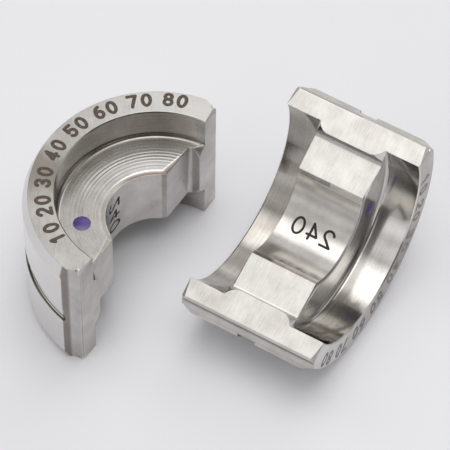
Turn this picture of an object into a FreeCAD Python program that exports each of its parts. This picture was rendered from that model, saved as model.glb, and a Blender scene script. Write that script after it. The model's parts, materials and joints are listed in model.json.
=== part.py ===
import FreeCAD, Part
import math
import os

from FreeCAD import Placement, Rotation, Vector

# Pair of half-round crimping dies for a hydraulic press, as they lie on a bench.
# Each half is turned as one ring, bored, counterbored on both sides and sawn in two.
# Lengths are in millimetres, angles in degrees.
#
# Frame of one die half: the origin is in the parting plane at mid width, X runs along
# the parting face, Y is the parting face's outward normal and Z is the die's width.

# Ring
BACK_RADIUS = 25.4
DIE_WIDTH = 29.2
HALF_KERF = 1.4
SIDE_CHAMFER_RADIAL = 1.1
SIDE_CHAMFER_AXIAL = 2.5

# Retaining groove round the back
GROOVE_WIDTH = 3.7
GROOVE_DEPTH = 0.5

# Counterbores and the web that they leave
COUNTERBORE_RADIUS = 19.2
COUNTERBORE_FOOT_RADIUS = 0.8
COUNTERBORE_FOOT_CONES = 5
COUNTERBORE_MOUTH_BREAK = 0.25
WEB_THICKNESS = 14.6

# Parting lands and the shoulders outside them
LAND_REACH = 23.4
LAND_EDGE_RADIUS = 0.5
LAND_CORNER_RADIUS = 0.8
SHOULDER_DROP = 3.4
SHOULDER_FILLET = 2.3

# Taper ground off the side edges of a land, from nothing at the counterbore's mouth
SIDE_TAPER_DROP = 0.6
SIDE_TAPER_WIDTH = 0.8

# Shallow pocket across the web, beside the crimping nest
POCKET_REACH = 17.3
POCKET_DEPTH = 2.35
POCKET_FILLET = 0.85
POCKET_MOUTH_RADIUS = 3.0
POCKET_MOUTH_FOOT_RADIUS = 0.1

# Crimping nest: the bored arc, its lips and the flared mouth on both sides
NEST_RADIUS = 9.7
LIP_REACH = 9.4
LIP_HEIGHT = 1.12
MOUTH_FLARE = 1.1
MOUTH_DEPTH = 0.27
MOUTH_LIP_DROP = 1.3

# Colour-code dot: a shallow spot-faced recess filled with paint
DOT_RADIUS = 1.7
DOT_RECESS = 0.3
DOT_CROWN = 0.12
DOT_CLEARANCE = 0.02
DOT_CIRCLE_RADIUS = 14.3
DOT_ANGLE = -48.7

# How the two halves lie: one stands on its plain side face, the other on its round back
STANDING_YAW = -122.3
LYING_AXIS_HEADING = -30.4
LYING_TILT = -22.9
LYING_OFFSET_X = 29.3
LYING_OFFSET_Y = -4.0

# Cutting tools: how far they pass the faces that they cut, what share of their own
# length the tapered ones run on, and how far a rounding starts inside its two faces
OVERCUT = 1.0
TAPER_OVERRUN = 0.25
ROUNDING_EASE = 0.03


def closed_wire(*edges):
    """Join edges that follow one another into one wire."""
    return Part.Wire(list(edges))


def line(start, end):
    return Part.makeLine(start, end)


def arc(start, middle, end):
    return Part.Arc(start, middle, end).toShape()


def polar(centre, radius, angle):
    """Point at an angle, in degrees, on a circle in the XY plane."""
    turn = math.radians(angle)
    return centre + Vector(radius * math.cos(turn), radius * math.sin(turn), 0)


def die_axis_point():
    """Centre of the turned ring: the saw cut leaves it above the parting face."""
    return Vector(0, HALF_KERF, 0)


def mirrored_copies(tool):
    """The tool and its copies on the other end and on the other side of the web."""
    origin = Vector(0, 0, 0)
    pair = [tool, tool.mirror(origin, Vector(1, 0, 0))]
    return pair + [one.mirror(origin, Vector(0, 0, 1)) for one in pair]


def foot_fillet():
    """Points round the fillet at the counterbore's foot, which is turned as short cones."""
    radius = COUNTERBORE_FOOT_RADIUS
    centre = Vector(COUNTERBORE_RADIUS - radius, 0, WEB_THICKNESS / 2 + radius)
    points = []
    for step in range(COUNTERBORE_FOOT_CONES + 1):
        turn = math.radians(90 * step / COUNTERBORE_FOOT_CONES)
        points.append(centre + Vector(radius * math.sin(turn), 0, -radius * math.cos(turn)))
    return points


def ring_section():
    """Section of the turned ring and its web, in the XZ plane, from the axis outwards."""
    side = DIE_WIDTH / 2
    groove = GROOVE_WIDTH / 2
    floor = BACK_RADIUS - GROOVE_DEPTH
    upper = [Vector(0, 0, WEB_THICKNESS / 2)] + foot_fillet() + [
        Vector(COUNTERBORE_RADIUS, 0, side),
        Vector(BACK_RADIUS - SIDE_CHAMFER_RADIAL, 0, side),
        Vector(BACK_RADIUS, 0, side - SIDE_CHAMFER_AXIAL),
        Vector(BACK_RADIUS, 0, groove),
        Vector(floor, 0, groove),
    ]
    lower = [Vector(point.x, 0, -point.z) for point in reversed(upper)]
    return Part.Face(Part.makePolygon(upper + lower + upper[:1]))


def counterbore_mouth_tool():
    """Breaks the edge of the counterbore's mouth, on the side with positive Z."""
    reach = COUNTERBORE_RADIUS
    side = DIE_WIDTH / 2
    size = COUNTERBORE_MOUTH_BREAK
    corners = [
        Vector(reach - size, 0, side - 2 * size),
        Vector(reach + 2 * size, 0, side + size),
        Vector(reach - size, 0, side + size),
    ]
    section = Part.Face(Part.makePolygon(corners + corners[:1]))
    section.translate(die_axis_point())
    return section.revolve(die_axis_point(), Vector(0, 0, 1), 360).toNurbs()


def half_ring():
    """The turned ring, sawn off at the parting plane."""
    centre = die_axis_point()
    section = ring_section()
    section.translate(centre)
    ring = section.revolve(centre, Vector(0, 0, 1), 360)
    reach = BACK_RADIUS + OVERCUT
    keep = Part.makeBox(2 * reach, reach, DIE_WIDTH + 2 * OVERCUT,
                        Vector(-reach, -reach, -DIE_WIDTH / 2 - OVERCUT))
    return ring.common(keep)


def land_section():
    """Section of what stands between the two shoulders: lands with rounded outer edges
    and a fillet at the foot of each relief face."""
    reach = LAND_REACH
    edge = LAND_EDGE_RADIUS
    fillet = SHOULDER_FILLET
    drop = SHOULDER_DROP
    edge_bend = edge * (1 - math.sqrt(0.5))
    fillet_bend = fillet * (1 - math.sqrt(0.5))
    deep = -drop - OVERCUT

    def end(sign):
        top = Vector(sign * (reach - edge), 0, 0)
        brow = Vector(sign * reach, -edge, 0)
        foot = Vector(sign * reach, fillet - drop, 0)
        toe = Vector(sign * (reach + fillet), -drop, 0)
        base = Vector(sign * (reach + fillet), deep, 0)
        edges = [
            arc(top, Vector(sign * (reach - edge_bend), -edge_bend, 0), brow),
            line(brow, foot),
            arc(foot, Vector(sign * (reach + fillet_bend), fillet_bend - drop, 0), toe),
            line(toe, base),
        ]
        return top, base, edges

    right_top, right_base, right_edges = end(1)
    left_top, left_base, left_edges = end(-1)
    closing = [line(left_top, right_top), line(left_base, right_base)]
    ordered = Part.sortEdges(right_edges + left_edges + closing)[0]
    return Part.Face(Part.Wire(ordered))


def shoulder_tool():
    """What is milled away outside the lands, down to the shoulders."""
    length = DIE_WIDTH + 2 * OVERCUT
    reach = BACK_RADIUS + OVERCUT
    swathe = Part.makeBox(2 * reach, SHOULDER_DROP + OVERCUT, length,
                          Vector(-reach, -SHOULDER_DROP, -length / 2))
    block = land_section()
    block.translate(Vector(0, 0, -length / 2))
    return swathe.cut(block.extrude(Vector(0, 0, length)))


def land_corner_tool():
    """Rounds the outer corner of a land, as seen on the parting face."""
    side = DIE_WIDTH / 2
    reach = LAND_REACH
    radius = LAND_CORNER_RADIUS
    level = SHOULDER_FILLET - SHOULDER_DROP
    bend = radius * (1 - math.sqrt(0.5))
    inner = Vector(reach - radius, level, side)
    outer = Vector(reach, level, side - radius)
    wire = closed_wire(
        arc(inner, Vector(reach - bend, level, side - bend), outer),
        line(outer, outer + Vector(OVERCUT, 0, 0)),
        line(outer + Vector(OVERCUT, 0, 0), Vector(reach + OVERCUT, level, side + OVERCUT)),
        line(Vector(reach + OVERCUT, level, side + OVERCUT), inner + Vector(0, 0, OVERCUT)),
        line(inner + Vector(0, 0, OVERCUT), inner),
    )
    return Part.Face(wire).extrude(Vector(0, OVERCUT - level, 0))


def side_taper_tool():
    """Sliver ground off the edge between a land and the side face: a pyramid with its tip
    at the counterbore's mouth."""
    side = DIE_WIDTH / 2
    tip = Vector(COUNTERBORE_RADIUS, 0, side)
    growth = (LAND_REACH + OVERCUT - tip.x) / (LAND_REACH - tip.x)
    corner = Vector(LAND_REACH + OVERCUT, 0, side)
    on_side = corner - Vector(0, SIDE_TAPER_DROP * growth, 0)
    on_land = corner - Vector(0, 0, SIDE_TAPER_WIDTH * growth)
    past = corner + Vector(0, OVERCUT, OVERCUT)
    sides = [(on_side, on_land, past), (tip, on_side, on_land), (tip, on_land, past), (tip, past, on_side)]
    faces = [Part.Face(Part.makePolygon([first, second, third, first])) for first, second, third in sides]
    return Part.Solid(Part.makeShell(faces))


def lip_foot():
    """Where the bored arc ends and the lip starts."""
    drop = POCKET_DEPTH + LIP_HEIGHT
    reach = math.sqrt(NEST_RADIUS ** 2 - (drop + HALF_KERF) ** 2)
    return Vector(reach, -drop, 0)


def lip_top():
    """Where the lip meets the pocket's floor."""
    return Vector(LIP_REACH, -POCKET_DEPTH, 0)


def flip(point):
    return Vector(-point.x, point.y, point.z)


def nest_tool():
    """Pocket and nest in one outline, cut along the whole width."""
    wall = POCKET_REACH
    fillet = POCKET_FILLET
    bend = fillet * (1 - math.sqrt(0.5))
    foot = lip_foot()
    top = lip_top()
    bottom = die_axis_point() - Vector(0, NEST_RADIUS, 0)
    rim = Vector(wall, OVERCUT, 0)
    wall_foot = Vector(wall, fillet - POCKET_DEPTH, 0)
    floor_end = Vector(wall - fillet, -POCKET_DEPTH, 0)
    corner = Vector(wall - bend, bend - POCKET_DEPTH, 0)
    wire = closed_wire(
        line(flip(rim), rim),
        line(rim, wall_foot),
        arc(wall_foot, corner, floor_end),
        line(floor_end, top),
        line(top, foot),
        arc(foot, bottom, flip(foot)),
        line(flip(foot), flip(top)),
        line(flip(top), flip(floor_end)),
        arc(flip(floor_end), flip(corner), flip(wall_foot)),
        line(flip(wall_foot), flip(rim)),
    )
    face = Part.Face(wire)
    length = DIE_WIDTH + 2 * OVERCUT
    face.translate(Vector(0, 0, -length / 2))
    return face.extrude(Vector(0, 0, length))


def mouth_lip():
    """Lip of the flared mouth, on the web's side face."""
    drop = POCKET_DEPTH + MOUTH_LIP_DROP
    radius = NEST_RADIUS + MOUTH_FLARE
    reach = math.sqrt(radius ** 2 - (drop + HALF_KERF) ** 2)
    return Vector(reach, -drop, WEB_THICKNESS / 2)


def mouth_outline(step):
    """Nest outline in the flare: step 0 at its inner end, 1 at the web's side face."""
    centre = die_axis_point()
    radius = NEST_RADIUS + step * MOUTH_FLARE
    level = WEB_THICKNESS / 2 + (step - 1) * MOUTH_DEPTH
    foot = lip_foot()
    angle = math.degrees(math.atan2(foot.y - centre.y, foot.x))
    lift = Vector(0, 0, level)
    start = polar(centre, radius, angle) + lift
    bottom = centre + Vector(0, -radius, level)
    inner_lip = lip_top() + Vector(0, 0, WEB_THICKNESS / 2 - MOUTH_DEPTH)
    lip = inner_lip + (mouth_lip() - inner_lip) * step
    crest = Vector(lip.x, OVERCUT, level)
    return closed_wire(
        arc(flip(start), bottom, start),
        line(start, lip),
        line(lip, crest),
        line(crest, flip(crest)),
        line(flip(crest), flip(lip)),
        line(flip(lip), flip(start)),
    )


def mouth_tool():
    """Flared mouth of the nest's arc, on the side with positive Z."""
    return Part.makeLoft([mouth_outline(0), mouth_outline(1 + TAPER_OVERRUN)], True, True)


def mouth_flank_tool():
    """Flare along the pocket's floor: a flat bevel that fades out at the pocket's wall."""
    web = WEB_THICKNESS / 2
    inner = lip_top() + Vector(0, 0, web - MOUTH_DEPTH)
    lip = mouth_lip()
    tip = Vector(POCKET_REACH - POCKET_FILLET, -POCKET_DEPTH, web)
    along = 1 + TAPER_OVERRUN / 2
    past = (lip - inner) * TAPER_OVERRUN * 2
    corners = [
        tip,
        tip + (inner - tip) * along,
        tip + (lip - tip) * along,
        lip + past,
        tip + past,
    ]
    wire = Part.makePolygon(corners + [corners[0]])
    return Part.Face(wire).extrude(Vector(0, POCKET_DEPTH + OVERCUT, 0))


def mouth_corner_outline(radius, level):
    """Corner of the pocket's wall and the web's side face, outside a rounding."""
    wall = POCKET_REACH - ROUNDING_EASE
    web = WEB_THICKNESS / 2 + ROUNDING_EASE
    bend = radius * (1 - math.sqrt(0.5))
    on_wall = Vector(wall, level, web - radius)
    on_web = Vector(wall + radius, level, web)
    past_web = Vector(wall + radius, level, web + OVERCUT)
    past_both = Vector(wall - OVERCUT, level, web + OVERCUT)
    past_wall = Vector(wall - OVERCUT, level, web - radius)
    return closed_wire(
        arc(on_wall, Vector(wall + bend, level, web - bend), on_web),
        line(on_web, past_web),
        line(past_web, past_both),
        line(past_both, past_wall),
        line(past_wall, on_wall),
    )


def mouth_corner_tool():
    """Rounds the corner where the pocket's wall meets the web's side face: the rounding
    grows from the wall's foot to the parting face."""
    foot_level = POCKET_FILLET - POCKET_DEPTH
    growth = (POCKET_MOUTH_RADIUS - POCKET_MOUTH_FOOT_RADIUS) / -foot_level
    top_level = OVERCUT / 2
    top_radius = POCKET_MOUTH_RADIUS + growth * top_level
    tool = Part.makeLoft([
        mouth_corner_outline(POCKET_MOUTH_FOOT_RADIUS, foot_level),
        mouth_corner_outline(top_radius, top_level),
    ], True, True)
    bore = Part.makeCylinder(COUNTERBORE_RADIUS, DIE_WIDTH, Vector(0, HALF_KERF, -DIE_WIDTH / 2))
    return tool.common(bore)


def dot_place():
    """Centre of the colour dot's recess floor, on the side with positive Z."""
    centre = polar(die_axis_point(), DOT_CIRCLE_RADIUS, DOT_ANGLE)
    return centre + Vector(0, 0, WEB_THICKNESS / 2 - DOT_RECESS)


def dot_recess_tool():
    return Part.makeCylinder(DOT_RADIUS, DOT_RECESS + OVERCUT, dot_place())


def die_half():
    """One die half in its own frame, with the marked side towards positive Z."""
    body = half_ring()
    mouth_break = counterbore_mouth_tool()
    body = body.cut(mouth_break)
    body = body.cut(mouth_break.mirror(Vector(0, 0, 0), Vector(0, 0, 1)))
    body = body.cut(shoulder_tool())
    for tool in mirrored_copies(land_corner_tool()):
        body = body.cut(tool)
    for tool in mirrored_copies(side_taper_tool()):
        body = body.cut(tool)
    body = body.cut(nest_tool())
    mouth = mouth_tool()
    body = body.cut(mouth)
    body = body.cut(mouth.mirror(Vector(0, 0, 0), Vector(0, 0, 1)))
    for tool in mirrored_copies(mouth_flank_tool()):
        body = body.cut(tool)
    for tool in mirrored_copies(mouth_corner_tool()):
        body = body.cut(tool)
    return body.cut(dot_recess_tool()).Solids[0]


def colour_dot():
    """Paint in the recess, with a slightly crowned surface."""
    radius = DOT_RADIUS - DOT_CLEARANCE
    top = Vector(0, 0, DOT_RECESS + DOT_CROWN)
    rim = Vector(radius, 0, DOT_RECESS)
    sphere = (radius ** 2 + DOT_CROWN ** 2) / (2 * DOT_CROWN)
    middle = radius / 2
    height = math.sqrt(sphere ** 2 - middle ** 2) - (sphere - DOT_CROWN)
    section = closed_wire(
        line(Vector(0, 0, 0), Vector(radius, 0, 0)),
        line(Vector(radius, 0, 0), rim),
        arc(rim, Vector(middle, 0, DOT_RECESS + height), top),
        line(top, Vector(0, 0, 0)),
    )
    dot = Part.Face(section).revolve(Vector(0, 0, 0), Vector(0, 0, 1), 360)
    dot.translate(dot_place())
    return dot


def standing_place():
    """Stands on its plain side face, with the marked one up."""
    turn = Rotation(Vector(0, 0, 1), STANDING_YAW)
    return Placement(Vector(0, 0, DIE_WIDTH / 2), turn)


def lying_place():
    """Lies on its round back with the die axis level, rolled aside by the tilt."""
    heading = math.radians(LYING_AXIS_HEADING)
    axis = Vector(math.cos(heading), math.sin(heading), 0)
    level = Rotation(axis.cross(Vector(0, 0, 1)) * -1, Vector(0, 0, 1), axis, "ZYX")
    turn = Rotation(axis, -LYING_TILT).multiply(level)
    centre = Vector(LYING_OFFSET_X, LYING_OFFSET_Y, BACK_RADIUS)
    return Placement(centre - turn.multVec(die_axis_point()), turn)


def placed(shape, place):
    copy = shape.copy()
    copy.Placement = place.multiply(copy.Placement)
    return copy


def main():
    half = die_half()
    dot = colour_dot()
    nodes = {
        "standing_die_half": placed(half, standing_place()),
        "standing_colour_dot": placed(dot, standing_place()),
        "lying_die_half": placed(half, lying_place()),
        "lying_colour_dot": placed(dot, lying_place()),
    }
    box = Part.makeCompound(list(nodes.values())).optimalBoundingBox(False)
    shift = Vector(-box.Center.x, -box.Center.y, -box.ZMin)
    os.makedirs("parts", exist_ok=True)
    for name, shape in nodes.items():
        shape.translate(shift)
        shape.exportStep("parts/" + name + ".step")
        kind = shape.ShapeType
        print(name, kind, len(shape.Solids), "valid", shape.isValid(), "volume", round(shape.Volume, 2))
    print("shift", shift, "box", box.XLength, box.YLength, box.ZLength)


main()
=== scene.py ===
"""Looks of a pair of half-round crimping dies: machined steel, etched numbers and paint dots.

Lengths named in millimetres are turned into the model's metres by MM. Each die half has a
frame of its own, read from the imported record: its origin is on the ring's axis at mid width,
x runs along the parting face, y is that face's outward normal and z is the die's width,
towards the marked side.
"""
import json
import logging
import math
from dataclasses import dataclass
from enum import Enum

import bpy
import numpy as np
from mathutils import Matrix


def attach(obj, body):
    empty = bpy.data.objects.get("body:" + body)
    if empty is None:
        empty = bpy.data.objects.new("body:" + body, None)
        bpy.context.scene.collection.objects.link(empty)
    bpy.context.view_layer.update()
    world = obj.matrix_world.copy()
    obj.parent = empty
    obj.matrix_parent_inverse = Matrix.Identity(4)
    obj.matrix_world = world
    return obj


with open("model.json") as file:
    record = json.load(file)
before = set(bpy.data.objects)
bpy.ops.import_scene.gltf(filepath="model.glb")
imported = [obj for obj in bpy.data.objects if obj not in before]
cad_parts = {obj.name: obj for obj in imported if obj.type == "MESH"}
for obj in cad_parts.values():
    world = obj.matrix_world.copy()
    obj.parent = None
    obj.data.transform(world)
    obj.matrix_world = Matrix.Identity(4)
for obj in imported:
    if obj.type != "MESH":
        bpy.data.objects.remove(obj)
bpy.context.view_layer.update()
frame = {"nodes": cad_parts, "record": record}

MM = 0.001
NOISE_MEAN = 0.5
LOG = logging.getLogger("crimping_die")


class Half(Enum):
    """The two halves, named by how they rest."""

    STANDING = "standing"
    LYING = "lying"


def unit(vector: list[float]) -> np.ndarray:
    """The vector as an array of length one."""
    array = np.array(vector, float)
    return array / np.linalg.norm(array)


@dataclass(frozen=True)
class DiePlace:
    """Where one die half lies in the model.

    Attributes:
        centre: point on the ring's axis at mid width, in metres.
        across: direction along the parting face.
        outward: the parting face's outward normal.
        axis: direction of the die's width, towards the marked side.
    """

    centre: np.ndarray
    across: np.ndarray
    outward: np.ndarray
    axis: np.ndarray

    @classmethod
    def of_half(cls, half: Half) -> "DiePlace":
        """Reads a half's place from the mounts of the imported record.

        Args:
            half: which half.

        Returns:
            The half's place.
        """
        mounts = {mount["name"]: mount for mount in frame["record"]["mounts"]}
        nest = mounts[f"{half.value}_nest"]
        axis = unit(nest["axis"])
        outward = unit(mounts[f"{half.value}_parting_face"]["axis"])
        across = np.cross(outward, axis)
        return cls(np.array(nest["pos_m"], float), across, outward, axis)

    def to_model(self, points: np.ndarray) -> np.ndarray:
        """Turns points of the half's frame, in mm, into points of the model, in metres."""
        turn = np.array([self.across, self.outward, self.axis])
        return self.centre + MM * points @ turn

    def rotation(self) -> Matrix:
        """The half's directions as the columns of a rotation matrix."""
        return Matrix(np.array([self.across, self.outward, self.axis]).T.tolist())


@dataclass(frozen=True)
class DieSizes:
    """Sizes of a die half that the finish and the markings need, in mm."""

    back_radius: float = 25.4
    half_width: float = 14.6
    half_web: float = 7.3
    half_kerf: float = 1.4
    half_groove: float = 1.85
    groove_depth: float = 0.5
    chamfer_width: float = 2.45
    counterbore_radius: float = 19.2
    foot_radius: float = 0.8
    land_reach: float = 23.4
    shoulder_drop: float = 3.4
    pocket_reach: float = 17.3
    pocket_depth: float = 2.35
    nest_radius: float = 9.7
    flare_depth: float = 0.27
    taper_width: float = 1.0
    taper_drop: float = 0.65


SIZES = DieSizes()


@dataclass(frozen=True)
class Margins:
    """How far masks reach past their faces or stay off their edges, in mm.

    Attributes:
        face: past a flat face.
        curve: past a round face, whose facets lie a little off it.
        hair: off an edge that has to stay free.
        back: from the back's radius down to where its groove and chamfers end.
        groove: from the back's radius down to where the groove's floor begins.
        lip_middle: from the nest's radius to the middle of its flared lip.
        lip_half: half the breadth of that lip.
        lip_edge: off the lip's own edges.
    """

    face: float = 0.05
    curve: float = 0.1
    hair: float = 0.03
    back: float = 1.6
    groove: float = 0.3
    lip_middle: float = 0.7
    lip_half: float = 0.5
    lip_edge: float = 0.01


MARGINS = Margins()


@dataclass(frozen=True)
class Fade:
    """A smooth step of some value.

    Attributes:
        low: the value at which the step starts.
        high: the value at which it ends.
        start: what it gives up to low.
        end: what it gives from high on.
    """

    low: float
    high: float
    start: float = 0.0
    end: float = 1.0


@dataclass(frozen=True)
class Noise:
    """Size and character of a noise.

    Attributes:
        scale: how fine its largest spots are.
        detail: how many finer noises are added.
        rough: how strong each of them is.
    """

    scale: float
    detail: float
    rough: float


class Field:
    """A shader socket whose arithmetic adds Math nodes.

    Attributes:
        sheet: the node sheet that the socket belongs to.
        socket: the output socket.
    """

    def __init__(self, sheet: "NodeSheet", socket: bpy.types.NodeSocket) -> None:
        """Keeps the sheet and the socket."""
        self.sheet = sheet
        self.socket = socket

    def _math(self, operation: str, *values: "Field | float") -> "Field":
        """Adds one Math node on these values."""
        inputs = dict(enumerate(values))
        return self.sheet.node("ShaderNodeMath", {"operation": operation}, inputs)

    def __add__(self, other: "Field | float") -> "Field":
        """Sum."""
        return self._math("ADD", self, other)

    def __radd__(self, other: float) -> "Field":
        """Sum with a number in front."""
        return self._math("ADD", other, self)

    def __sub__(self, other: "Field | float") -> "Field":
        """Difference."""
        return self._math("SUBTRACT", self, other)

    def __rsub__(self, other: float) -> "Field":
        """Difference from a number."""
        return self._math("SUBTRACT", other, self)

    def __mul__(self, other: "Field | float") -> "Field":
        """Product."""
        return self._math("MULTIPLY", self, other)

    def __rmul__(self, other: float) -> "Field":
        """Product with a number in front."""
        return self._math("MULTIPLY", other, self)

    def __abs__(self) -> "Field":
        """Size without sign."""
        return self._math("ABSOLUTE", self)

    def over(self, edge: float) -> "Field":
        """One where the value is over the edge, zero elsewhere."""
        return self._math("GREATER_THAN", self, edge)

    def under(self, edge: float) -> "Field":
        """One where the value is under the edge, zero elsewhere."""
        return self._math("LESS_THAN", self, edge)

    def near(self, level: float, reach: float) -> "Field":
        """One where the value lies within reach of the level, zero elsewhere."""
        return self._math("COMPARE", self, level, reach)

    def larger(self, other: "Field | float") -> "Field":
        """The larger of the two values at each point."""
        return self._math("MAXIMUM", self, other)

    def sine(self) -> "Field":
        """Sine of the value, in radians."""
        return self._math("SINE", self)

    def turn_from(self, x: "Field") -> "Field":
        """Angle of the point whose x is given and whose y is this value, in radians."""
        return self._math("ARCTAN2", self, x)

    def through(self, fade: Fade) -> "Field":
        """The smooth step that the value takes."""
        settings = {"interpolation_type": "SMOOTHSTEP", "clamp": True}
        inputs = {
            "Value": self,
            "From Min": fade.low,
            "From Max": fade.high,
            "To Min": fade.start,
            "To Max": fade.end,
        }
        return self.sheet.node("ShaderNodeMapRange", settings, inputs)


class NodeSheet:
    """Adds the nodes of one material or of the world."""

    def __init__(self, tree: bpy.types.NodeTree) -> None:
        """Empties the tree."""
        self.tree = tree
        tree.nodes.clear()

    def node(
        self,
        kind: str,
        settings: dict[str, object] | None = None,
        inputs: dict[int | str, object] | None = None,
        output: int | str = 0,
    ) -> Field:
        """Adds a node.

        Args:
            kind: the node's type.
            settings: attributes that are set before its sockets.
            inputs: values or fields of its sockets, by name or number.
            output: the output socket that is wanted, by name or number.

        Returns:
            The output socket as a field.
        """
        made = self.tree.nodes.new(kind)
        for name, value in (settings or {}).items():
            setattr(made, name, value)
        for key, value in (inputs or {}).items():
            socket = made.inputs[key]
            if isinstance(value, Field):
                self.tree.links.new(value.socket, socket)
            else:
                socket.default_value = value
        if len(made.outputs) == 0:
            return Field(self, None)
        return Field(self, made.outputs[output])

    def vector(self, x: Field | float, y: Field | float, z: Field | float) -> Field:
        """A vector from its three parts."""
        return self.node("ShaderNodeCombineXYZ", {}, {0: x, 1: y, 2: z})

    def noise(self, at: Field, noise: Noise) -> Field:
        """Noise between zero and one at a vector."""
        inputs = {"Vector": at, "Scale": noise.scale, "Detail": noise.detail, "Roughness": noise.rough}
        return self.node("ShaderNodeTexNoise", {}, inputs, "Fac")

    def mix_colours(self, share: Field, low: tuple | Field, high: tuple | Field) -> Field:
        """A colour between two, by share."""
        settings = {"data_type": "RGBA"}
        return self.node("ShaderNodeMix", settings, {0: share, 6: low, 7: high}, 2)

    def bump(self, height: Field, strength: float, normal: Field | None = None) -> Field:
        """The surface's normal over a height that is given in metres."""
        inputs = {"Height": height, "Strength": strength, "Distance": 1.0}
        if normal is not None:
            inputs["Normal"] = normal
        return self.node("ShaderNodeBump", {}, inputs)

    def finish(self, shader: Field, kind: str = "ShaderNodeOutputMaterial") -> None:
        """Links a shader to the tree's output."""
        self.node(kind, {}, {"Surface": shader})


def colour(red: float, green: float, blue: float) -> tuple[float, float, float, float]:
    """An opaque colour."""
    return (red, green, blue, 1.0)


def new_material(name: str) -> tuple[bpy.types.Material, NodeSheet]:
    """A new material and its empty node sheet."""
    made = bpy.data.materials.new(name)
    made.use_nodes = True
    return made, NodeSheet(made.node_tree)


@dataclass(frozen=True)
class HalfTones:
    """How one half's look differs from the other's: its rim's numbers, and the light and shade painted
    on it.

    Attributes:
        rim_etch: what the rim's numbers look like.
        side_shade: share of the steel's bright colour on the flat side faces, set per half as painted
            light and shade.
        plain_bore_shade: share of it on the plain side's counterbore, set per half as painted shade.
        marked_bore_shade: the same on the marked side's counterbore, half way round, set per half as
            painted light and shade.
        bore_fade: painted light that makes that wall lighter at one end, and painted shade that makes it
            darker at the other.
        shaded_end: sign of the end, along the half's x, whose shoulder gets painted shade.
        shoulder_shade_level: y of the middle of the painted shade on that shoulder, in mm.
        shoulder_painted_shade: how strong that painted shade is.
    """

    rim_etch: "Etch"
    side_shade: float
    plain_bore_shade: float
    marked_bore_shade: float
    bore_fade: float
    shaded_end: float
    shoulder_shade_level: float
    shoulder_painted_shade: float


class HalfField:
    """A half's own coordinates as shader fields.

    Attributes:
        sheet: the node sheet that they belong to.
        x: place along the parting face, in mm.
        y: place along that face's outward normal, in mm.
        z: place along the die's width, in mm.
        wide: distance from mid width, in mm.
        r: distance from the ring's axis, in mm.
        angle: angle about that axis from x, in radians.
    """

    def __init__(self, sheet: NodeSheet, place: DiePlace) -> None:
        """Turns Object coordinates into those of the half that lies at the place."""
        inputs = {
            "Vector": sheet.node("ShaderNodeTexCoord", {}, {}, "Object"),
            "Location": place.centre.tolist(),
            "Rotation": place.rotation().to_euler("XYZ"),
            "Scale": (MM, MM, MM),
        }
        local = sheet.node("ShaderNodeMapping", {"vector_type": "TEXTURE"}, inputs)
        self.sheet = sheet
        self.x, self.y, self.z = (
            sheet.node("ShaderNodeSeparateXYZ", {}, {0: local}, part) for part in range(3)
        )
        flat = sheet.vector(self.x, self.y, 0.0)
        self.wide = abs(self.z)
        self.r = sheet.node("ShaderNodeVectorMath", {"operation": "LENGTH"}, {0: flat}, 1)
        self.angle = self.y.turn_from(self.x)


class Faces:
    """Which face of a half a point lies on: each mask is one there and zero elsewhere.

    Attributes:
        side: the flat side faces.
        taper: the tapers on the lands' side edges.
        milled: the lands, the shoulders, the pocket and the tapers.
        web: the web's flat faces.
        nest: the crimping nest's bored arc.
        bored: the rest of what was turned.
        back: the round back with its groove and chamfers.
        flare: the nest's flared mouths.
        wall: what was turned, without the back and the flared mouths.
        chamfer: the back's side chamfers.
    """

    def __init__(self, at: HalfField) -> None:
        """Works the masks out from the half's coordinates."""
        across = abs(at.x)
        top = -SIZES.half_kerf
        in_web = at.wide.under(SIZES.half_web - MARGINS.face)
        self.side = at.wide.over(SIZES.half_width - MARGINS.face)
        taper = across.over(SIZES.counterbore_radius + MARGINS.face)
        taper = taper * across.under(SIZES.land_reach - MARGINS.hair)
        taper = taper * at.wide.over(SIZES.half_width - SIZES.taper_width)
        taper = taper * at.y.under(top - MARGINS.hair) * at.y.over(top - SIZES.taper_drop)
        self.taper = taper * (1 - self.side)
        lands = at.y.over(top - MARGINS.face)
        shoulders = across.over(SIZES.land_reach - MARGINS.curve)
        shoulders = shoulders * at.y.over(top - SIZES.shoulder_drop - MARGINS.face)
        pocket = in_web * across.under(SIZES.pocket_reach + MARGINS.curve)
        pocket = pocket * at.y.over(top - SIZES.pocket_depth - MARGINS.face)
        milled = lands.larger(shoulders).larger(pocket) * (1 - self.side)
        self.milled = milled.larger(self.taper)
        turned = 1 - self.milled
        web = at.wide.near(SIZES.half_web, MARGINS.face)
        self.web = web * at.r.under(SIZES.counterbore_radius - SIZES.foot_radius) * turned
        self.nest = at.r.near(SIZES.nest_radius, MARGINS.curve) * in_web * turned
        self.bored = (1 - self.side) * turned * (1 - self.web) * (1 - self.nest)
        self.back = self.bored * at.r.over(SIZES.back_radius - MARGINS.back)
        half_flare = SIZES.flare_depth / 2
        flare = at.wide.near(SIZES.half_web - half_flare, half_flare)
        flare = flare * at.r.near(SIZES.nest_radius + MARGINS.lip_middle, MARGINS.lip_half)
        self.flare = flare * (1 - self.web)
        self.wall = self.bored * (1 - self.back) * (1 - self.flare)
        self.chamfer = self.back * at.wide.over(SIZES.half_width - SIZES.chamfer_width)


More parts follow.
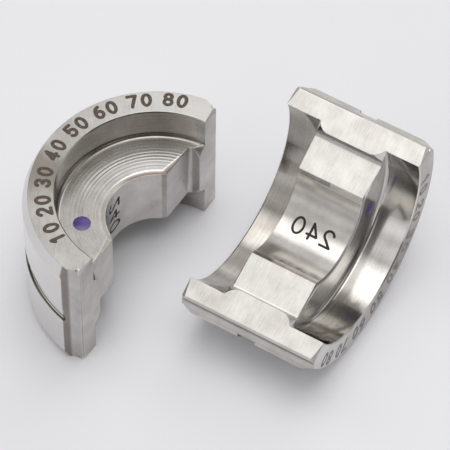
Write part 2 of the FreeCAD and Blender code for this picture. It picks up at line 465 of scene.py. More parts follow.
@dataclass(frozen=True)
class DieSteel:
    """Hardened tool steel as the lathe, the mill and the grinder leave it, with light and shade painted
    on some of its faces.

    Angles are about the ring's axis from the half's x, in radians, and negative inside the die.

    Attributes:
        dark: the steel's colour where its share of the bright colour is nothing.
        bright: its colour where that share is whole.
        corner_shade_colour: colour of the painted shade in the corners and on one shoulder.
        bored_roughness to worn_end_roughness: roughness of each face; what the chamfers, the
            tapers and the walls' far end have is added to that of the face they are on.
        plain_shade to flare_shading: share of the bright colour on each face; web_fade paints light and
            shade along the web's arc, and flare_shading paints shade on the flared mouths.
        bore_far, bore_near: angles where the painted shade on the marked side's wall is darkest and the
            painted light brightest.
        far_end_painted_light: painted light that the walls' share gains at their far end.
        window_opens, window_closes, window_painted_shade: painted shade on the side faces, by angle.
        pale_end: painted light that the side faces' share gains at their far end.
        turned_grain to ground_stretch: each face's grain and how far it is drawn out.
        grinding_angle: direction of the sides' grain from the half's x, in degrees.
        cloud, speck: noises of wide and of fine spots.
        streak_shade to speck_shade: what grain and spots do to the share.
        streak_roughness, speck_roughness: what they do to the roughness.
        bored_relief to speck_relief: heights of grain and fine spots, in mm.
        ring_relief, ring_pitch: height and distance of the web's tool rings, in mm.
        ring_drift, ring_stretch, ring_wander: the noise that bends them, and how far.
        ring_start to ring_patches: where they begin and where they get faint.
        groove_painted_shade: painted shade on the groove's walls, by distance from the back's radius.
        groove_fillet: rise of the groove's floor towards its walls, in mm.
        shoulder_shade_band: painted shade on one shoulder, by distance from its middle.
            foot_start, foot_end, foot_painted_shade: painted shade at the foot of the counterbores'
                walls.
            lip_painted_shade, lip_stretch: painted shade on the nest's lips, by width and by angle.
            pocket_lip, pocket_lip_painted_shade: reach of the pocket's lip, in mm, and its painted
                shade.
        edge_radius, edge_samples: how far the light rolls over a broken edge, in mm, and how
            finely that is worked out.
    """

    dark: tuple[float, ...] = colour(0.315, 0.29, 0.26)
    bright: tuple[float, ...] = colour(0.73, 0.72, 0.705)
    corner_shade_colour: tuple[float, ...] = colour(0.15, 0.125, 0.105)
    bored_roughness: float = 0.11
    back_roughness: float = 0.18
    chamfer_roughness: float = 0.14
    flare_roughness: float = 0.38
    nest_roughness: float = 0.22
    faced_roughness: float = 0.26
    ground_roughness: float = 0.3
    milled_roughness: float = 0.3
    taper_roughness: float = 0.25
    worn_end_roughness: Fade = Fade(-3.08, -2.85, 0.3, 0.0)
    plain_shade: float = 0.54
    web_shade: float = 0.64
    web_fade: Fade = Fade(-2.5, -1.2, 0.2, -0.15)
    back_shade: float = 0.92
    flare_shading: float = 0.25
    bore_far: float = -2.2
    bore_near: float = -0.9
    far_end_painted_light: Fade = Fade(-3.08, -2.85, 0.4, 0.0)
    window_opens: Fade = Fade(-1.2, -0.87, 1.0, 0.0)
    window_closes: Fade = Fade(-1.6, -1.2)
    window_painted_shade: float = 0.5
    pale_end: Fade = Fade(-2.5, -1.75, 0.3, 0.0)
    turned_grain: Noise = Noise(7.0, 3.0, 0.6)
    turned_stretch: float = 0.35
    milled_grain: Noise = Noise(7.0, 3.0, 0.6)
    nest_grain: Noise = Noise(9.0, 3.0, 0.6)
    drawn_stretch: float = 0.05
    ground_grain: Noise = Noise(8.0, 3.0, 0.6)
    ground_stretch: float = 0.04
    grinding_angle: float = 32.0
    cloud: Noise = Noise(0.22, 4.0, 0.6)
    speck: Noise = Noise(2.2, 4.0, 0.7)
    streak_shade: float = 0.5
    nest_calm: float = 0.32
    cloud_shade: float = 0.6
    speck_shade: float = 0.1
    streak_roughness: float = 0.08
    speck_roughness: float = 0.05
    bored_relief: float = 0.0012
    back_relief: float = 0.001
    nest_relief: float = 0.0003
    faced_relief: float = 0.0008
    milled_relief: float = 0.0025
    ground_relief: float = 0.003
    speck_relief: float = 0.0003
    ring_relief: float = 0.008
    ring_pitch: float = 0.74
    ring_drift: Noise = Noise(0.9, 2.0, 0.5)
    ring_stretch: float = 0.4
    ring_wander: float = 5.0
    ring_start: Fade = Fade(11.0, 12.2)
    ring_end: Fade = Fade(15.0, 16.8, 1.0, 0.22)
    ring_turn: Fade = Fade(-1.75, -0.95, 1.0, 0.25)
    ring_patches: Fade = Fade(0.25, 0.65)
    groove_painted_shade: Fade = Fade(-0.2, -0.08, 0.95, 0.0)
    groove_fillet: Fade = Fade(-0.55, 0.15, 0.0, 0.3)
    shoulder_shade_band: Fade = Fade(0.4, 0.9, 1.0, 0.0)
    foot_start: Fade = Fade(18.85, 19.1)
    foot_end: Fade = Fade(7.55, 8.1, 1.0, 0.0)
    foot_painted_shade: float = 0.6
    lip_painted_shade: Fade = Fade(7.12, 7.25, 0.95, 0.1)
    lip_stretch: Fade = Fade(-2.1, -1.6, 1.0, 0.0)
    pocket_lip: float = 0.3
    pocket_lip_painted_shade: float = 0.8
    edge_radius: float = 0.12
    edge_samples: int = 4

    def material(self, name: str, place: DiePlace, tones: HalfTones) -> bpy.types.Material:
        """Builds the material for a half that lies at a place.

        Args:
            name: the material's name.
            place: where the half lies; the machining marks follow its frame.
            tones: the light and shade painted on the half, and the look of its rim's numbers.

        Returns:
            The material.
        """
        made, sheet = new_material(name)
        at = HalfField(sheet, place)
        faces = Faces(at)
        point = sheet.vector(at.x, at.y, at.z)
        streak = self._streak(at, faces)
        cloud = sheet.noise(point, self.cloud) - NOISE_MEAN
        speck = sheet.noise(point, self.speck) - NOISE_MEAN

        shade = self._shade(at, faces, tones)
        shade = shade + streak * (self.streak_shade - faces.nest * self.nest_calm)
        shade = shade + cloud * self.cloud_shade + speck * self.speck_shade
        # The share, with its painted light and shade, sets the colour between dark and bright.
        base = sheet.mix_colours(shade.through(Fade(0.0, 1.0)), self.dark, self.bright)
        # Painted shade in the corners and on one shoulder, mixed in over the steel's colour.
        base = sheet.mix_colours(self._painted_corner_shade(at, tones), base, self.corner_shade_colour)

        rough = self._roughness(at, faces)
        rough = rough + speck * self.speck_roughness + streak * self.streak_roughness

        height = streak * self._relief(faces) + speck * self.speck_relief
        height = height + self._web_rings(at) * faces.web * self.ring_relief
        height = height + self._groove_fillet(at, faces)
        edge = {"Radius": self.edge_radius * MM}
        eased = sheet.node("ShaderNodeBevel", {"samples": self.edge_samples}, edge)
        normal = sheet.bump(height * MM, 1.0, eased)
        shader = sheet.node(
            "ShaderNodeBsdfPrincipled",
            {},
            {"Base Color": base, "Roughness": rough, "Metallic": 1.0, "Normal": normal},
        )
        sheet.finish(shader)
        return made

    def _streak(self, at: HalfField, faces: Faces) -> Field:
        """The machining grain: noise that is drawn out round the axis on what was turned,
        along x on what was milled, along the width in the nest and along the grinding
        direction on the sides."""
        sheet = at.sheet
        turned = sheet.noise(sheet.vector(at.r, at.z, at.angle * self.turned_stretch), self.turned_grain)
        milled = sheet.noise(sheet.vector(at.x * self.drawn_stretch, at.y, at.z), self.milled_grain)
        nest = sheet.noise(sheet.vector(at.x, at.y, at.z * self.drawn_stretch), self.nest_grain)
        turn = math.radians(self.grinding_angle)
        aside = at.x * -math.sin(turn) + at.y * math.cos(turn)
        along = at.x * math.cos(turn) + at.y * math.sin(turn)
        ground = sheet.noise(sheet.vector(aside, along * self.ground_stretch, at.z), self.ground_grain)
        return (
            turned * (faces.bored + faces.web)
            + milled * faces.milled
            + nest * faces.nest
            + ground * faces.side
            - NOISE_MEAN
        )

    def _shade(self, at: HalfField, faces: Faces, tones: HalfTones) -> Field:
        """The share of the bright colour on each face, without grain and spots; much of it is painted
        light and shade.
        """
        plain = self.plain_shade
        # Painted light and shade on the counterbores' walls: by side and by half, along the angle, and
        # lighter at their far end.
        fade = Fade(self.bore_far, self.bore_near, -tones.bore_fade, tones.bore_fade)
        marked = tones.marked_bore_shade - tones.plain_bore_shade + at.angle.through(fade)
        wall = tones.plain_bore_shade - plain + at.z.over(0.0) * marked
        wall = wall + at.angle.through(self.far_end_painted_light)
        # Painted light and shade on the web: lighter at one end of its arc, darker at the other.
        web = self.web_shade - plain + at.angle.through(self.web_fade)
        return (
            plain
            + faces.wall * wall
            + faces.web * web
            + faces.back * (self.back_shade - plain)
            # Painted highlight on the back's chamfers.
            + faces.chamfer * (1 - self.back_shade)
            # Painted shade on the flared mouths.
            - faces.flare * self.flare_shading
            # Painted light on the tapers.
            + faces.taper * (1 - plain)
            # Painted light and shade on the side faces, set per half and by angle.
            + faces.side * (tones.side_shade - plain - self._side_painted_shade(at.angle))
        )

    def _roughness(self, at: HalfField, faces: Faces) -> Field:
        """The roughness of each face, without grain and spots."""
        return (
            faces.wall * (self.bored_roughness + at.angle.through(self.worn_end_roughness))
            + faces.back * self.back_roughness
            + faces.chamfer * self.chamfer_roughness
            + faces.flare * self.flare_roughness
            + faces.nest * self.nest_roughness
            + faces.web * self.faced_roughness
            + faces.milled * self.milled_roughness
            + faces.taper * self.taper_roughness
            + faces.side * self.ground_roughness
        )

    def _relief(self, faces: Faces) -> Field:
        """The height of each face's grain, in mm."""
        return (
            faces.bored * self.bored_relief
            + faces.back * self.back_relief
            + faces.nest * self.nest_relief
            + faces.web * self.faced_relief
            + faces.milled * self.milled_relief
            + faces.side * self.ground_relief
        )

    def _side_painted_shade(self, angle: Field) -> Field:
        """Painted shade and light on the side faces: darker and browner in a window of the angle,
        and paler towards its far end."""
        window = angle.through(self.window_opens) * angle.through(self.window_closes)
        return window * self.window_painted_shade - angle.through(self.pale_end)

    def _painted_corner_shade(self, at: HalfField, tones: HalfTones) -> Field:
        """How much painted shade the corners get: the retaining groove's walls, a band on one shoulder,
        the foot of the counterbores' walls and the far half of the nest's lips."""
        groove = at.wide.near(SIZES.half_groove, MARGINS.face)
        groove = groove * at.r.over(SIZES.back_radius - SIZES.groove_depth - MARGINS.curve)
        groove = groove * (at.r - SIZES.back_radius).through(self.groove_painted_shade)
        shoulder = (at.x * tones.shaded_end).over(SIZES.land_reach - MARGINS.face) * tones.shoulder_painted_shade
        shoulder = shoulder * at.r.under(SIZES.back_radius - MARGINS.hair)
        shoulder = shoulder * at.wide.under(SIZES.half_width - MARGINS.face)
        shoulder = shoulder * abs(at.y - tones.shoulder_shade_level).through(self.shoulder_shade_band)
        foot = at.r.through(self.foot_start) * at.r.under(SIZES.counterbore_radius + MARGINS.curve)
        foot = foot * at.wide.through(self.foot_end) * at.wide.over(SIZES.half_web + MARGINS.curve)
        half_flare = SIZES.flare_depth / 2
        lip = at.wide.near(SIZES.half_web - half_flare, half_flare - MARGINS.lip_edge)
        pocket_lip = at.y.over(-SIZES.half_kerf - SIZES.pocket_depth - self.pocket_lip)
        lip_painted_shade = at.wide.through(self.lip_painted_shade).larger(pocket_lip * self.pocket_lip_painted_shade)
        lip = lip * at.r.under(SIZES.pocket_reach) * lip_painted_shade
        lip = lip * at.angle.through(self.lip_stretch)
        return groove.larger(shoulder).larger(foot * self.foot_painted_shade).larger(lip)

    def _groove_fillet(self, at: HalfField, faces: Faces) -> Field:
        """Height of the fillets in the retaining groove: a smooth rise of its floor towards
        its walls."""
        rise = (at.wide - SIZES.half_groove).through(self.groove_fillet)
        floor = at.r.under(SIZES.back_radius - MARGINS.groove) * at.wide.under(SIZES.half_groove)
        return rise * faces.back * floor

    def _web_rings(self, at: HalfField) -> Field:
        """Grooves that the facing tool leaves on the web: sines of the radius whose depth
        and pitch drift with noise, deepest between the nest and the middle of the web."""
        ringwise = at.sheet.vector(at.r, at.angle * self.ring_stretch, 0.0)
        drift = at.sheet.noise(ringwise, self.ring_drift)
        deep = at.r.through(self.ring_start) * at.r.through(self.ring_end)
        deep = deep * at.angle.through(self.ring_turn)
        wave = (at.r * (2 * math.pi / self.ring_pitch) + drift * self.ring_wander).sine()
        return deep * wave * drift.through(self.ring_patches)


@dataclass(frozen=True)
class GlossPaint:
    """Colour-code enamel: glossy, a little uneven where it was dabbed in.

    Attributes:
        deep: its darker colour.
        pale: its lighter colour.
        roughness: its roughness.
        coat: weight of its clear gloss.
        dab: noise of its unevenness.
        tint: how its colour follows that noise.
        dab_height: how uneven it is, in mm.
        dab_strength: how strongly the light shows that.
    """

    deep: tuple[float, ...] = colour(0.075, 0.033, 0.235)
    pale: tuple[float, ...] = colour(0.11, 0.055, 0.3)
    roughness: float = 0.22
    coat: float = 0.6
    dab: Noise = Noise(900.0, 2.0, 0.5)
    tint: Fade = Fade(0.35, 0.65)
    dab_height: float = 0.04
    dab_strength: float = 0.5

    def material(self, name: str) -> bpy.types.Material:
        """Builds the material under a name."""
        made, sheet = new_material(name)
        point = sheet.node("ShaderNodeTexCoord", {}, {}, "Object")
        dab = sheet.noise(point, self.dab)
        inputs = {
            "Base Color": sheet.mix_colours(dab.through(self.tint), self.deep, self.pale),
            "Roughness": self.roughness,
            "Coat Weight": self.coat,
            "Normal": sheet.bump(dab * self.dab_height * MM, self.dab_strength),
        }
        sheet.finish(sheet.node("ShaderNodeBsdfPrincipled", {}, inputs))
        return made


@dataclass(frozen=True)
class Etch:
    """Burnt bottom of an etched or engraved mark.

    Attributes:
        dark: its darker colour.
        light: its lighter colour.
        roughness: its roughness.
        metallic: how much of the bare steel shows.
        mottle: noise of its spots.
        tint: how its colour follows that noise.
        mottle_height: how high the spots are, in mm.
        mottle_strength: how strongly the light shows them.
    """

    dark: tuple[float, ...]
    light: tuple[float, ...]
    roughness: float = 0.6
    metallic: float = 0.3
    mottle: Noise = Noise(2600.0, 3.0, 0.6)
    tint: Fade = Fade(0.35, 0.7)
    mottle_height: float = 0.02
    mottle_strength: float = 0.6

    def material(self, name: str) -> bpy.types.Material:
        """Builds the material under a name."""
        made, sheet = new_material(name)
        point = sheet.node("ShaderNodeTexCoord", {}, {}, "Object")
        mottle = sheet.noise(point, self.mottle)
        inputs = {
            "Base Color": sheet.mix_colours(mottle.through(self.tint), self.dark, self.light),
            "Roughness": self.roughness,
            "Metallic": self.metallic,
            "Normal": sheet.bump(mottle * self.mottle_height * MM, self.mottle_strength),
        }
        sheet.finish(sheet.node("ShaderNodeBsdfPrincipled", {}, inputs))
        return made


RIM_ETCH = Etch(colour(0.07, 0.052, 0.04), colour(0.165, 0.13, 0.105))
# A lighter, more metallic copy of the rim's etch, for the lying half's numbers.
PALE_ETCH = Etch(colour(0.16, 0.15, 0.155), colour(0.4, 0.385, 0.39), metallic=0.8)
NEST_ETCH = Etch(colour(0.004, 0.004, 0.004), colour(0.02, 0.018, 0.016), metallic=0.0)
# Painted light and shade per half: the side faces and the counterbores' walls lighter or darker by half
# and by side, and painted shade on one shoulder.
HALF_TONES = {
    Half.STANDING: HalfTones(
        rim_etch=RIM_ETCH,
        side_shade=0.54,
        plain_bore_shade=0.3,
        marked_bore_shade=0.28,
        bore_fade=0.12,
        shaded_end=1.0,
        shoulder_shade_level=-4.5,
        shoulder_painted_shade=0.7,
    ),
    Half.LYING: HalfTones(
        rim_etch=PALE_ETCH,
        side_shade=0.36,
        plain_bore_shade=0.24,
        marked_bore_shade=0.62,
        bore_fade=0.24,
        shaded_end=-1.0,
        shoulder_shade_level=-2.4,
        shoulder_painted_shade=0.55,
    ),
}

ARC_LEAST = 6
ARC_STEP = 12
LINE_POINTS = 10
CAP_ANGLES = (8, 30, 52, 74)
CORNERS = 4


def arc_points(
    centre: tuple[float, float], radii: tuple[float, float], turn: tuple[float, float]
) -> np.ndarray:
    """Points along an elliptic arc: centre plus radii times cosine and sine of the angle.

    Args:
        centre: the ellipse's centre.
        radii: its half width and half height.
        turn: the first and last angle, in degrees.

    Returns:
        One row per point.
    """
    count = ARC_LEAST + round(abs(turn[1] - turn[0]) / ARC_STEP)
    angle = np.radians(np.linspace(turn[0], turn[1], count))
    x = centre[0] + radii[0] * np.cos(angle)
    y = centre[1] + radii[1] * np.sin(angle)
    return np.column_stack([x, y])


def line_points(start: tuple[float, float], end: tuple[float, float]) -> np.ndarray:
    """Points evenly spaced from start to end, one row each."""
    share = np.linspace(0, 1, LINE_POINTS)[:, None]
    return np.array(start) * (1 - share) + np.array(end) * share


def numeral_strokes(digit: str) -> list[np.ndarray]:
    """Centre lines of a plain numeral's strokes, in a cell that is one wide and one high.

    The cell's x runs from -0.5 to 0.5 and its y from 0 at the foot to 1 at the top.
    """
    strokes = {
        "0": [arc_points((0, 0.5), (0.5, 0.5), (90, 450))],
        "1": [line_points((0.05, 0), (0.05, 1)), line_points((0.05, 1), (-0.3, 0.76))],
        "2": [
            arc_points((0, 0.71), (0.46, 0.29), (165, -38)),
            line_points((0.36, 0.53), (-0.5, 0)),
            line_points((-0.5, 0), (0.5, 0)),
        ],
        "3": [
            arc_points((-0.02, 0.75), (0.44, 0.25), (155, -90)),
            arc_points((-0.02, 0.26), (0.5, 0.26), (90, -155)),
        ],
        "4": [
            line_points((0.22, 0), (0.22, 1)),
            line_points((0.22, 1), (-0.5, 0.27)),
            line_points((-0.5, 0.27), (0.5, 0.27)),
        ],
        "5": [
            line_points((0.42, 1), (-0.36, 1)),
            line_points((-0.36, 1), (-0.44, 0.48)),
            arc_points((-0.02, 0.31), (0.5, 0.31), (146, -150)),
        ],
        "6": [
            arc_points((0, 0.3), (0.48, 0.3), (90, 450)),
            arc_points((0.34, 0.3), (0.82, 0.7), (180, 98)),
        ],
        "7": [line_points((-0.5, 1), (0.5, 1)), line_points((0.5, 1), (-0.14, 0))],
        "8": [
            arc_points((0, 0.76), (0.42, 0.24), (90, 450)),
            arc_points((0, 0.27), (0.5, 0.27), (90, 450)),
        ],
    }
    return strokes[digit]


@dataclass(frozen=True)
class Pen:
    """How a numeral is cut.

    Attributes:
        height: height of the numeral's centre lines, in mm.
        width: width of its centre lines, in mm.
        weight: breadth of a stroke, in mm.
        proud: how far the mark's face stands over the steel, in mm.
        sunk: how deep the mark's body reaches into the steel, in mm.
        layer: how much higher each further stroke of a numeral lies, in mm, so that no two
            of them share a plane where they cross.
    """

    height: float
    width: float
    weight: float
    proud: float = 0.012
    sunk: float = 0.05
    layer: float = 0.004

    def stroke(self, centre_line: np.ndarray) -> tuple[np.ndarray, np.ndarray]:
        """A closed bar along a centre line, with round ends.

        The bar's half breadth at a distance s from an end is the circle's half chord,
        sqrt(h * h - (h - s) ** 2) with h half the weight, and h away from the ends. Its four
        corners at each row are the centre line plus and minus that along the line's normal,
        at the face's level and at the foot's.

        Args:
            centre_line: one row per point, in the unit cell.

        Returns:
            Vertices as (along, up, out) in mm, and faces as four vertex numbers.
        """
        line = centre_line * [self.width, self.height]
        half = self.weight / 2
        if np.allclose(line[0], line[-1]):
            line = line[:-1]
            tangent = np.roll(line, -1, axis=0) - np.roll(line, 1, axis=0)
            tangent /= np.linalg.norm(tangent, axis=1)[:, None]
            return self._bar(line, tangent, np.full((len(line), 1), half), True)
        step = np.gradient(line, axis=0)
        tangent = step / np.linalg.norm(step, axis=1)[:, None]
        cap = half * np.cos(np.radians(CAP_ANGLES))[:, None]
        head = line[:1] - cap * tangent[:1]
        tail = line[-1:] + cap[::-1] * tangent[-1:]
        first = np.repeat(tangent[:1], len(cap), 0)
        last = np.repeat(tangent[-1:], len(cap), 0)
        tangent = np.vstack([first, tangent, last])
        chord = np.sqrt(half**2 - cap[:, 0] ** 2)
        breadth = np.concatenate([chord, np.full(len(line), half), chord[::-1]])[:, None]
        return self._bar(np.vstack([head, line, tail]), tangent, breadth, False)

    def _bar(
        self, line: np.ndarray, tangent: np.ndarray, breadth: np.ndarray, ring: bool
    ) -> tuple[np.ndarray, np.ndarray]:
        """The bar's vertices and faces, four vertices per row.

        Args:
            line: the centre line's points, in mm.
            tangent: its direction at each point.
            breadth: half the bar's width at each point, in mm.
            ring: whether the last row is joined to the first instead of both being closed.

        Returns:
            Vertices and faces, as stroke gives them.
        """
        normal = np.column_stack([-tangent[:, 1], tangent[:, 0]]) * breadth
        rows = len(line)
        face = np.full((rows, 1), self.proud)
        foot = np.full((rows, 1), -self.sunk)
        corners = [
            np.hstack([line + normal, face]),
            np.hstack([line - normal, face]),
            np.hstack([line - normal, foot]),
            np.hstack([line + normal, foot]),
        ]
        vertices = np.stack(corners, axis=1).reshape(-1, 3)
        row = np.arange(rows if ring else rows - 1)[:, None] * CORNERS
        following = (row + CORNERS) % (rows * CORNERS)
        corner = np.arange(CORNERS)
        after = (corner + 1) % CORNERS
        quads = [row + corner, row + after, following + after, following + corner]
        faces = np.stack(quads, axis=-1).reshape(-1, CORNERS)
        if ring:
            return vertices, faces
        last = (rows - 1) * CORNERS
        ends = [[3, 2, 1, 0], [last, last + 1, last + 2, last + 3]]
        return vertices, np.vstack([faces, ends])

    def word(self, digits: str, pitch: float) -> tuple[np.ndarray, np.ndarray]:
        """Numerals side by side, centred on the origin.

        Args:
            digits: the numerals.
            pitch: distance from one numeral's middle to the next, in mm.

        Returns:
            Vertices as (along, up, out) in mm, with up counted from mid height, and faces.
        """
        vertices, faces, count = [], [], 0
        for place, digit in enumerate(digits):
            along = (place - (len(digits) - 1) / 2) * pitch
            for layer, centre_line in enumerate(numeral_strokes(digit)):
                points, quads = self.stroke(centre_line)
                vertices.append(points + [along, -self.height / 2, layer * self.layer])
                faces.append(quads + count)
                count += len(points)
        return np.vstack(vertices), np.vstack(faces)


def mesh_piece(name: str, vertices: np.ndarray, faces: np.ndarray) -> bpy.types.Object:
    """Puts vertices in metres and faces into a new mesh object whose faces point outwards."""
    mesh = bpy.data.meshes.new(name)
    mesh.from_pydata(vertices.tolist(), [], faces.tolist())
    mesh.validate()
    mesh.update()
    made = bpy.data.objects.new(name, mesh)
    bpy.context.scene.collection.objects.link(made)
    return made


@dataclass(frozen=True)
class RimScale:
    """Plain round numbers etched along the rim of the marked side face.

    Attributes:
        numbers: the numbers, in reading order.
        start_angle: where the first number's middle is, in degrees about the ring's axis.
        end_angle: where the last number's middle is.
        start_radius: mid height of the first number, in mm from the axis.
        end_radius: mid height of the last number: the row drifts outwards along the rim.
        pen: how the numerals are cut.
        pitch: distance between a number's numerals, in mm.
    """

    numbers: tuple[str, ...] = ("10", "20", "30", "40", "50", "60", "70", "80")
    start_angle: float = -30.0
    end_angle: float = -156.0
    start_radius: float = 21.3
    end_radius: float = 22.4
    pen: Pen = Pen(height=2.6, width=1.5, weight=0.72)
    pitch: float = 2.75

    def build(self, half: Half, place: DiePlace) -> bpy.types.Object:
        """Builds the scale of one half.

        A point that is s along and t up from a number's middle, at angle a and radius q,
        goes to the polar place of angle a - s / q and radius q + t.
        """
        all_vertices, all_faces, count = [], [], 0
        angles = np.radians(np.linspace(self.start_angle, self.end_angle, len(self.numbers)))
        radii = np.linspace(self.start_radius, self.end_radius, len(self.numbers))
        for number, angle, radius in zip(self.numbers, angles, radii):
            points, faces = self.pen.word(number, self.pitch)
            polar = angle - points[:, 0] / radius
            reach = radius + points[:, 1]
            level = SIZES.half_width + points[:, 2]
            all_vertices.append(np.column_stack([reach * np.cos(polar), reach * np.sin(polar), level]))
            all_faces.append(faces + count)
            count += len(points)
        vertices = place.to_model(np.vstack(all_vertices))
        return mesh_piece(f"{half.value}_rim_scale", vertices, np.vstack(all_faces))


@dataclass(frozen=True)
class NestNumber:
    """Mirrored number cut in the nest, so that it reads right on what the dies have pressed.

    Attributes:
        number: the number.
        angle: where its mid height is on the bored arc, in degrees about the ring's axis.
        middle: where its middle is along the die's width, in mm.
        pen: how the numerals are cut.
        pitch: distance between its numerals, in mm.
    """

    number: str = "240"
    angle: float = -88.0
    middle: float = 0.0
    pen: Pen = Pen(height=3.3, width=2.1, weight=0.5)
    pitch: float = 3.25

    def build(self, half: Half, place: DiePlace) -> bpy.types.Object:
        """Builds the number of one half.

        A point that is s along, t up and h out of the steel goes to the angle of mid height
        plus t / r, the radius r - h and the width middle - s, with r the nest's radius.
        """
        points, faces = self.pen.word(self.number, self.pitch)
        radius = SIZES.nest_radius
        polar = math.radians(self.angle) + points[:, 1] / radius
        reach = radius - points[:, 2]
        width = self.middle - points[:, 0]
        local = np.column_stack([reach * np.cos(polar), reach * np.sin(polar), width])
        return mesh_piece(f"{half.value}_nest_number", place.to_model(local), faces[:, ::-1])


@dataclass(frozen=True)
class DieHalf:
    """One die half: its steel, its paint dot and its markings.

    Attributes:
        half: which half.
        steel: finish of its body.
        paint: finish of its dot.
        scale: the numbers on its rim.
        number: the number in its nest.
    """

    half: Half
    steel: DieSteel = DieSteel()
    paint: GlossPaint = GlossPaint()
    scale: RimScale = RimScale()
    number: NestNumber = NestNumber()

    def dress(self) -> None:
        """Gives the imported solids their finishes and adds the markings."""
        name, tones = self.half.value, HALF_TONES[self.half]
        place = DiePlace.of_half(self.half)
        steel = self.steel.material(f"{name}_die_steel", place, tones)
        paint = self.paint.material(f"{name}_colour_code_paint")
        self._cover(f"{name}_die_half", steel)
        self._cover(f"{name}_colour_dot", paint)
        self._mark(self.scale.build(self.half, place), tones.rim_etch)
        self._mark(self.number.build(self.half, place), NEST_ETCH)

    def _cover(self, node: str, material: bpy.types.Material) -> None:
        """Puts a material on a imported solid."""
        piece = frame["nodes"][node]
        piece.data.materials.clear()
        piece.data.materials.append(material)
        LOG.info("dressed %s", node)

    def _mark(self, piece: bpy.types.Object, etch: Etch) -> None:
        """Gives a marking its finish and lets it ride with its half."""
        piece.data.materials.append(etch.material(piece.name))
        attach(piece, f"{self.half.value}_half")
        LOG.info("built %s", piece.name)


@dataclass(frozen=True)
class SkyPatch:
    """A soft round patch of the studio's sky that is brighter or darker than the rest.

    Attributes:
        azimuth: direction of its middle from +Y towards +X, in degrees.
        elevation: height of its middle over the horizon, in degrees.
        inner: angle from its middle up to which it is even, in degrees.
        outer: angle from its middle at which it has faded out, in degrees.
        strength: what it adds to the sky's brightness.
    """

    azimuth: float
    elevation: float
    inner: float
    outer: float
    strength: float

    def glow(self, sheet: NodeSheet, direction: Field) -> Field:
        """What the patch adds in a direction: a smooth step on the cosine of the angle
        between the direction and the patch's middle."""
        azimuth, elevation = math.radians(self.azimuth), math.radians(self.elevation)
        flat = math.cos(elevation)
        middle = (flat * math.sin(azimuth), flat * math.cos(azimuth), math.sin(elevation))
        settings = {"operation": "DOT_PRODUCT"}
        cosine = sheet.node("ShaderNodeVectorMath", settings, {0: direction, 1: middle}, 1)
        faded = math.cos(math.radians(self.outer))
        full = math.cos(math.radians(self.inner))
        return cosine.through(Fade(faded, full)) * self.strength


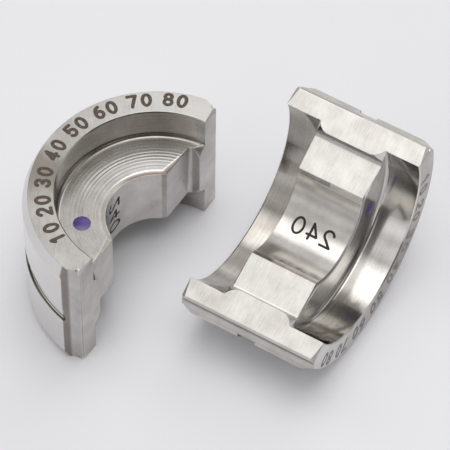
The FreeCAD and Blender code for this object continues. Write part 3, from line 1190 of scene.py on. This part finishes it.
@dataclass(frozen=True)
class Studio:
    """Pale floor, soft lights and the camera.

    Attributes:
        camera_point: the camera's place, in metres.
        camera_elevation: how far it is tipped down, in degrees.
        camera_roll: how far it is rolled, in degrees.
        lens: its focal length, in mm.
        sensor: its sensor's width, in mm.
        clip: the nearest and the farthest distance that it sees, in metres.
        floor_half_size: half the floor's width, in metres.
        floor_colour: the floor's colour.
        floor_roughness: its roughness.
        floor_specular: its specular level.
        sky_colour: colour of the sky's light.
        ambient: the sky's brightness away from its patches.
        patches: its soft patches.
    """

    camera_point: tuple[float, float, float] = (-0.000622, -0.365539, 0.525845)
    camera_elevation: float = 54.0913
    camera_roll: float = 0.85396
    lens: float = 260.948
    sensor: float = 36.0
    clip: tuple[float, float] = (0.01, 50.0)
    floor_half_size: float = 3.0
    floor_colour: tuple[float, ...] = colour(0.925, 0.927, 0.968)
    floor_roughness: float = 0.85
    floor_specular: float = 0.2
    sky_colour: tuple[float, ...] = colour(1.0, 0.99, 0.975)
    ambient: float = 0.164
    patches: tuple[SkyPatch, ...] = (
        SkyPatch(azimuth=0, elevation=90, inner=12, outer=34, strength=1.73),
        SkyPatch(azimuth=-135, elevation=62, inner=8, outer=32, strength=0.33),
        SkyPatch(azimuth=45, elevation=62, inner=8, outer=32, strength=0.50),
        SkyPatch(azimuth=135, elevation=62, inner=8, outer=32, strength=0.42),
        SkyPatch(azimuth=-135, elevation=36, inner=6, outer=30, strength=0.43),
        SkyPatch(azimuth=15, elevation=36, inner=6, outer=30, strength=0.71),
        SkyPatch(azimuth=-120, elevation=9, inner=6, outer=30, strength=0.54),
        SkyPatch(azimuth=30, elevation=9, inner=6, outer=30, strength=0.81),
        SkyPatch(azimuth=90, elevation=9, inner=6, outer=30, strength=0.69),
        SkyPatch(azimuth=-15, elevation=72, inner=4, outer=19, strength=0.80),
        SkyPatch(azimuth=-62, elevation=48, inner=4, outer=19, strength=0.93),
    )

    def build(self) -> None:
        """Builds the whole studio."""
        bpy.context.scene.view_settings.view_transform = "Standard"
        self._camera()
        self._floor()
        self._world()

    def _camera(self) -> None:
        """Places the camera: level view, tipped down by its elevation, then rolled."""
        elevation = math.radians(self.camera_elevation)
        roll = math.radians(self.camera_roll)
        right = np.array([1.0, 0.0, 0.0])
        down = np.array([0.0, -math.sin(elevation), -math.cos(elevation)])
        forward = np.array([0.0, math.cos(elevation), -math.sin(elevation)])
        rolled_right = math.cos(roll) * right - math.sin(roll) * down
        rolled_down = math.sin(roll) * right + math.cos(roll) * down
        data = bpy.data.cameras.new("camera")
        data.sensor_width = self.sensor
        data.lens = self.lens
        data.clip_start, data.clip_end = self.clip
        camera = bpy.data.objects.new("camera", data)
        turn = np.eye(4)
        turn[:3, :3] = np.array([rolled_right, -rolled_down, -forward]).T
        turn[:3, 3] = self.camera_point
        camera.matrix_world = Matrix(turn.tolist())
        bpy.context.scene.collection.objects.link(camera)
        bpy.context.scene.camera = camera

    def _floor(self) -> None:
        """Lays a pale, matt floor at the height on which the halves rest."""
        corners = np.array([[-1, -1, 0], [1, -1, 0], [1, 1, 0], [-1, 1, 0]]) * self.floor_half_size
        floor = mesh_piece("floor", corners, np.array([[0, 1, 2, 3]]))
        made, sheet = new_material("floor")
        inputs = {
            "Base Color": self.floor_colour,
            "Roughness": self.floor_roughness,
            "Specular IOR Level": self.floor_specular,
        }
        sheet.finish(sheet.node("ShaderNodeBsdfPrincipled", {}, inputs))
        floor.data.materials.append(made)

    def _world(self) -> None:
        """Lights the scene with a plain sky and its soft patches."""
        world = bpy.data.worlds.new("studio")
        world.use_nodes = True
        bpy.context.scene.world = world
        sheet = NodeSheet(world.node_tree)
        direction = sheet.node("ShaderNodeTexCoord", {}, {}, "Generated")
        light = self.patches[0].glow(sheet, direction) + self.ambient
        for patch in self.patches[1:]:
            light = light + patch.glow(sheet, direction)
        sky = sheet.node("ShaderNodeBackground", {}, {"Color": self.sky_colour, "Strength": light})
        sheet.finish(sky, "ShaderNodeOutputWorld")


def main() -> None:
    """Builds the studio and both die halves."""
    logging.basicConfig(level=logging.INFO, format="%(name)s: %(message)s")
    Studio().build()
    for half in Half:
        DieHalf(half).dress()


if __name__ == "__main__":
    main()
